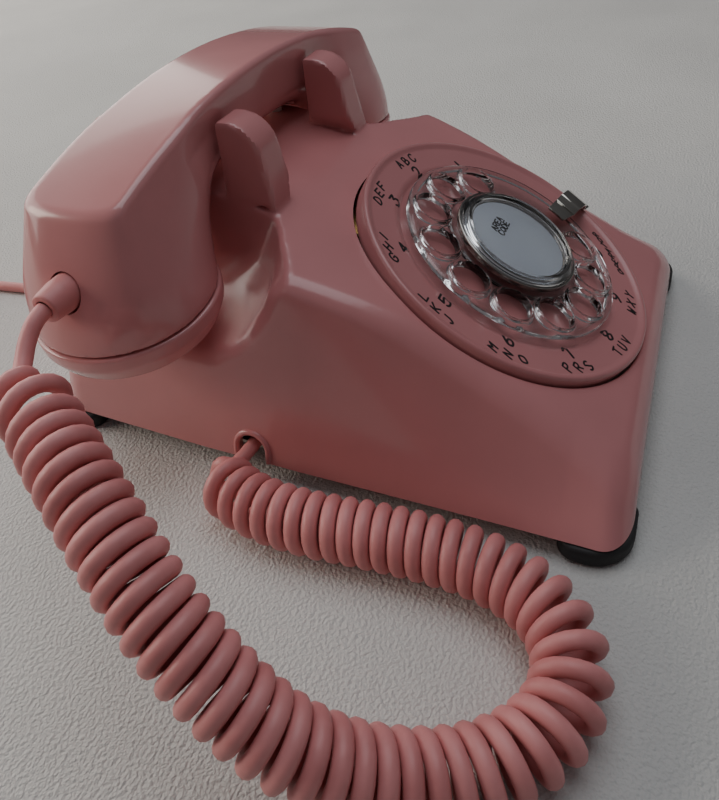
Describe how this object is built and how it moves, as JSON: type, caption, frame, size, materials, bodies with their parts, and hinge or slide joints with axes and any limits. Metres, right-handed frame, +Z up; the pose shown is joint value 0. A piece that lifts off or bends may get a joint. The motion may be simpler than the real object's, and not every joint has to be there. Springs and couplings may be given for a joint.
{
  "type": "rotary desk telephone",
  "caption": "Rotary dial desk telephone with a lift-off handset on a horned cradle, a clear finger wheel, curly handset cord and line cord",
  "frame": {"origin": "centre of the footprint on the table, under the feet, cords left out", "axes": "+X to the user's right, +Y to the back, +Z up; the dial faces -Y and up"},
  "size_m": [0.2867, 0.4104, 0.116],
  "materials": {
    "rose_housing": "glossy rose-pink moulding with a slight orange peel",
    "rose_handset": "glossy rose-pink moulding",
    "rose_number_plate": "glossy rose-pink with black printed characters",
    "rose_cord": "matt pink vinyl",
    "clear_acrylic": "clear polished acrylic",
    "paper": "pale card",
    "dark_chrome": "polished, slightly darkened",
    "bright_chrome": "bright plating",
    "steel": "zinc plated",
    "brass_parts": "turned brass",
    "black_rubber": "matt black",
    "bakelite": "moulded phenolic",
    "coil_wire": "varnished winding",
    "white_nylon": "moulded nylon"
  },
  "bodies": {
    "root": {"housing": "rose_housing", "base_plate": "steel", "foot_front_left": "black_rubber", "foot_front_right": "black_rubber", "foot_rear_left": "black_rubber", "foot_rear_right": "black_rubber", "housing_screws": "steel", "number_plate": "rose_number_plate", "dial_frame": "steel", "dial_brackets": "steel", "dial_screws": "steel", "finger_stop": "bright_chrome", "governor_cup": "brass_parts", "dial_return_spring": "steel", "pulse_springs": "brass_parts", "network_block": "bakelite", "network_terminals": "brass_parts", "ringer_frame": "steel", "ringer_coils": "coil_wire", "ringer_magnet": "steel", "gong_low": "brass_parts", "gong_high": "brass_parts", "gong_screws": "steel", "volume_wheel_bracket": "steel", "hook_switch_bracket": "steel", "hook_switch_springs": "brass_parts", "handset_cord_curl": "rose_cord", "handset_cord_lead": "rose_cord", "handset_cord_tail": "rose_cord", "line_cord": "rose_cord", "line_cord_coil": "rose_cord", "line_cord_tie": "black_rubber", "line_plug": "rose_cord", "line_plug_pins": "brass_parts", "handset_cord_restraint": "steel", "line_cord_grommet": "rose_cord"},
    "dial_rotor": {"finger_wheel": "clear_acrylic", "wheel_centre_cup": "dark_chrome", "number_card": "paper", "card_retainer": "clear_acrylic", "dial_shaft": "steel", "dial_main_gear": "brass_parts", "pulse_cam": "white_nylon"},
    "dial_middle": {"middle_pinion": "brass_parts", "middle_gear": "brass_parts"},
    "dial_governor": {"governor_spindle": "brass_parts", "governor_weights": "brass_parts"},
    "handset": {"handset_handle": "rose_handset", "transmitter_cap": "rose_handset", "receiver_cap": "rose_handset", "transmitter_unit": "steel", "receiver_unit": "steel", "transmitter_contact_cup": "bakelite", "handset_cord_bushing": "rose_cord"},
    "plunger_left": {"plunger_left": "white_nylon"},
    "plunger_right": {"plunger_right": "white_nylon"},
    "hook_lever": {"hook_lever": "steel"},
    "clapper": {"ringer_clapper": "steel"},
    "volume_wheel": {"volume_wheel": "bakelite"}
  },
  "joints": [
    {"name": "dial_turn", "type": "hinge", "parent": "root", "child": "dial_rotor", "pos_m": [0, -0.0512, 0.05195], "axis": [0, -0.4939, 0.8695], "range_deg": [-315, 0], "stiffness_Nm_per_rad": 0.01, "springref_deg": 57.3},
    {"name": "dial_middle_turn", "type": "hinge", "parent": "root", "child": "dial_middle", "pos_m": [-0.02165, -0.06207, 0.04578], "axis": [0, -0.4939, 0.8695], "range_deg": [0, 1260]},
    {"name": "dial_governor_turn", "type": "hinge", "parent": "root", "child": "dial_governor", "pos_m": [-0.01498, -0.07211, 0.04007], "axis": [0, -0.4939, 0.8695], "range_deg": [-3780, 0]},
    {"name": "handset_lift", "type": "slide", "parent": "root", "child": "handset", "axis": [0, 0, 1], "range_m": [0, 0.08]},
    {"name": "plunger_left_slide", "type": "slide", "parent": "root", "child": "plunger_left", "axis": [0, 0, 1], "range_m": [0, 0.006]},
    {"name": "plunger_right_slide", "type": "slide", "parent": "root", "child": "plunger_right", "axis": [0, 0, 1], "range_m": [0, 0.006]},
    {"name": "hook_lever_tilt", "type": "hinge", "parent": "root", "child": "hook_lever", "pos_m": [0, 0.075, 0.056], "axis": [1, 0, 0], "range_deg": [-18, 0]},
    {"name": "clapper_swing", "type": "hinge", "parent": "root", "child": "clapper", "pos_m": [0.033, 0.044, 0.0205], "axis": [0, 0, 1], "range_deg": [-2, 2], "stiffness_Nm_per_rad": 0.0005},
    {"name": "volume_turn", "type": "hinge", "parent": "root", "child": "volume_wheel", "pos_m": [0.038, 0.084, 0.0146], "axis": [1, 0, 0], "range_deg": [0, 100]}
  ],
  "couplings": [
    {"joint": "dial_middle_turn", "follows": "dial_turn", "ratio": -4},
    {"joint": "dial_governor_turn", "follows": "dial_turn", "ratio": 12},
    {"joint": "plunger_left_slide", "follows": "handset_lift", "ratio": 0.075},
    {"joint": "plunger_right_slide", "follows": "handset_lift", "ratio": 0.075},
    {"joint": "hook_lever_tilt", "follows": "handset_lift", "rad_per_m": -3.4}
  ]
}
